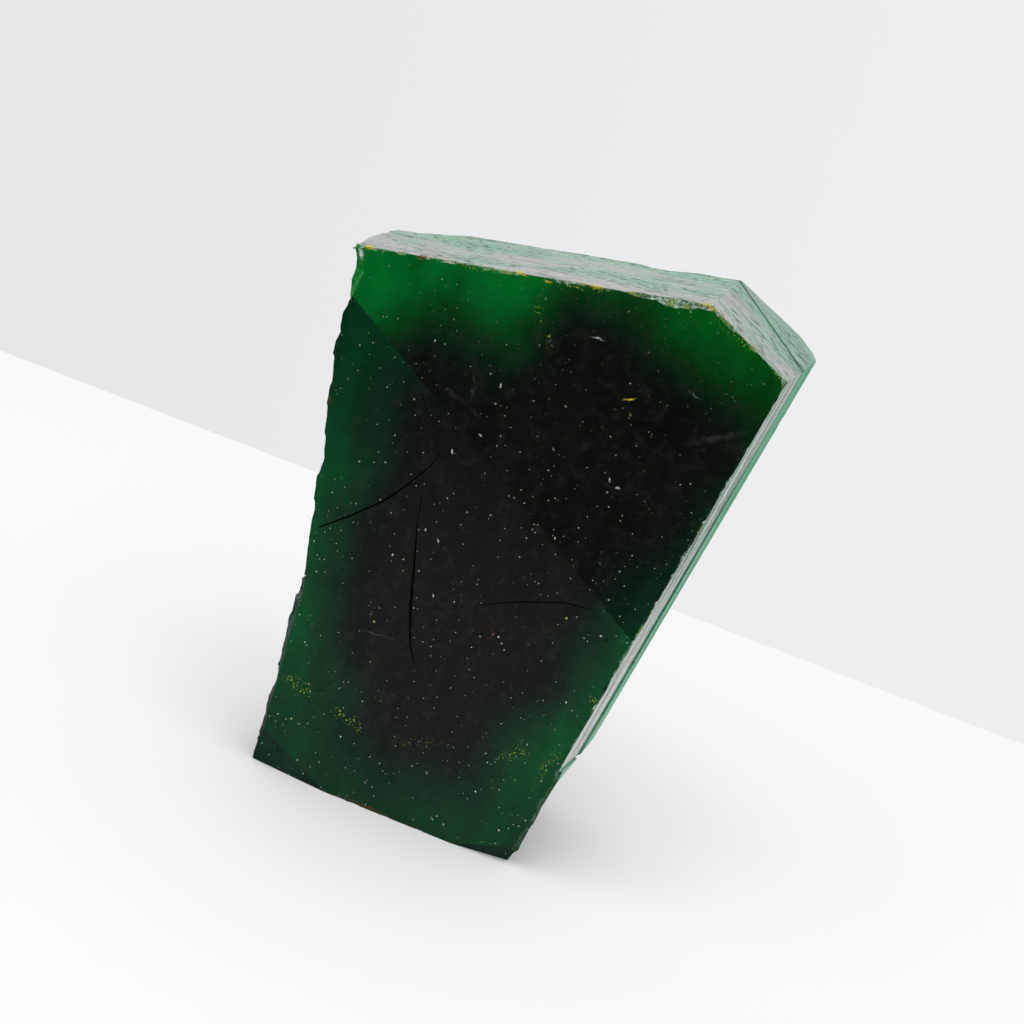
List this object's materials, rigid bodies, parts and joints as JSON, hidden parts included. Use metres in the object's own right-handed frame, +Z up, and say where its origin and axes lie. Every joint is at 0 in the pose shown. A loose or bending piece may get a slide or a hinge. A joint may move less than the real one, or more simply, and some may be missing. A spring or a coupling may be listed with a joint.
{
  "type": "raw emerald crystal",
  "caption": "Raw emerald crystal, a dark green sawn and part-polished block standing on its narrow end, with a broken side and chipped edges",
  "frame": {"origin": "middle of the stone's box, on the surface that it stands on", "axes": "+X right seen from the polished front, +Y to the back, +Z up along the stone's height"},
  "size_m": [0.0522, 0.0248, 0.0676],
  "materials": {
    "emerald": "polished front, frosted sawn top and right side, broken left side and back; see-through green beryl, near black where thick"
  },
  "bodies": {
    "root": {"emerald_crystal": "emerald"}
  },
  "joints": []
}
